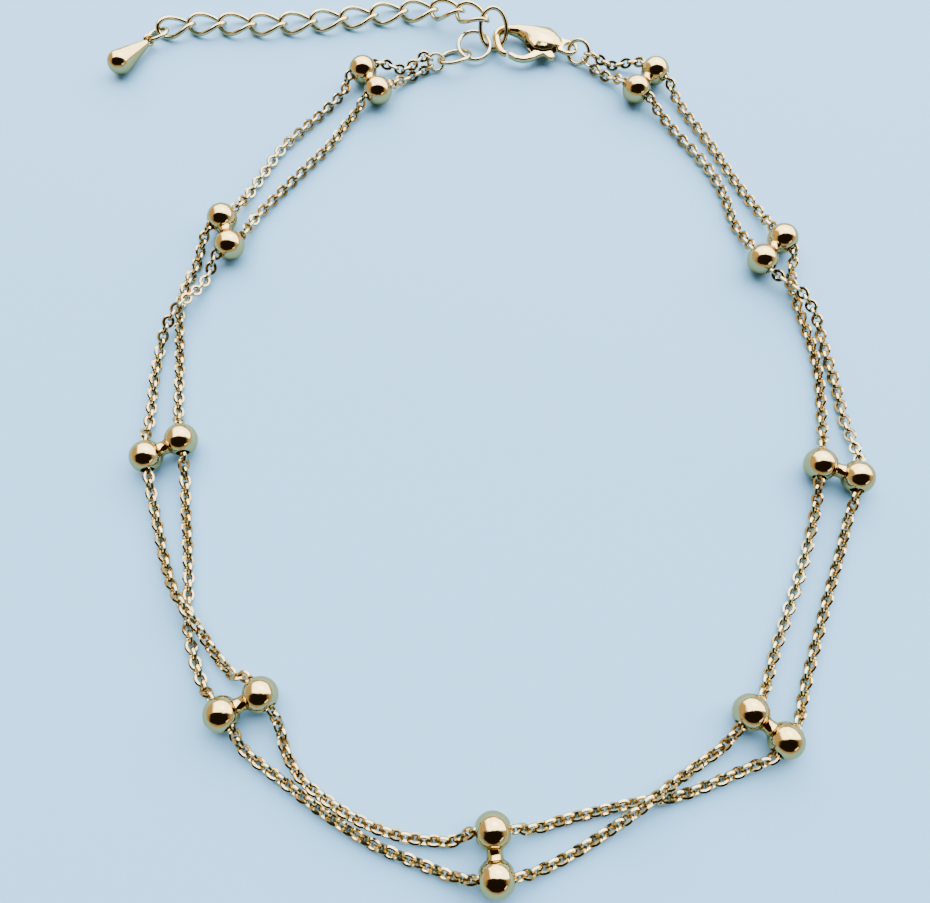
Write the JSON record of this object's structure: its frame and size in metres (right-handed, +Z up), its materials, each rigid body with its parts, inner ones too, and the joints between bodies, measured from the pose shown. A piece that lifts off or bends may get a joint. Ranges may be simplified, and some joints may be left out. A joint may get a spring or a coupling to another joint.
{
  "type": "anklet",
  "caption": "Double-strand gold cable chain anklet with soldered pairs of round beads, a lobster claw clasp and a twisted-link extender with a small teardrop, fastened and lying flat.",
  "frame": {"origin": "centre of the bounding box at the height of the surface it lies on", "axes": "+Z up from the surface, +Y from the lowest bead pair towards the claw, +X to the picture's right"},
  "size_m": [0.0778, 0.0948, 0.0038],
  "materials": {
    "chain_gold": "polished",
    "bead_gold": "polished",
    "polished_gold": "polished"
  },
  "bodies": {
    "anklet": {"strand_a": "chain_gold", "strand_b": "chain_gold", "bead_pair_1": "bead_gold", "bead_pair_2": "bead_gold", "bead_pair_3": "bead_gold", "bead_pair_4": "bead_gold", "bead_pair_5": "bead_gold", "bead_pair_6": "bead_gold", "bead_pair_7": "bead_gold", "bead_pair_8": "bead_gold", "bead_pair_9": "bead_gold", "end_ring": "polished_gold", "coupling_ring": "polished_gold", "catch_ring": "polished_gold", "jump_ring": "polished_gold", "claw": "polished_gold", "extender_link_1": "polished_gold", "extender_link_2": "polished_gold", "extender_link_3": "polished_gold", "extender_link_4": "polished_gold", "extender_link_5": "polished_gold", "extender_link_6": "polished_gold", "extender_link_7": "polished_gold", "extender_link_8": "polished_gold", "extender_link_9": "polished_gold", "extender_link_10": "polished_gold", "extender_link_11": "polished_gold", "extender_link_12": "polished_gold", "drop_ring": "polished_gold", "drop": "polished_gold"},
    "lever": {"claw_lever": "polished_gold"}
  },
  "joints": [
    {"name": "lever_hinge", "type": "hinge", "parent": "anklet", "child": "lever", "pos_m": [0.01016, 0.03963, 0.00111], "axis": [0, 0, -1], "range_deg": [0, 25], "stiffness_Nm_per_rad": 0.0005}
  ]
}
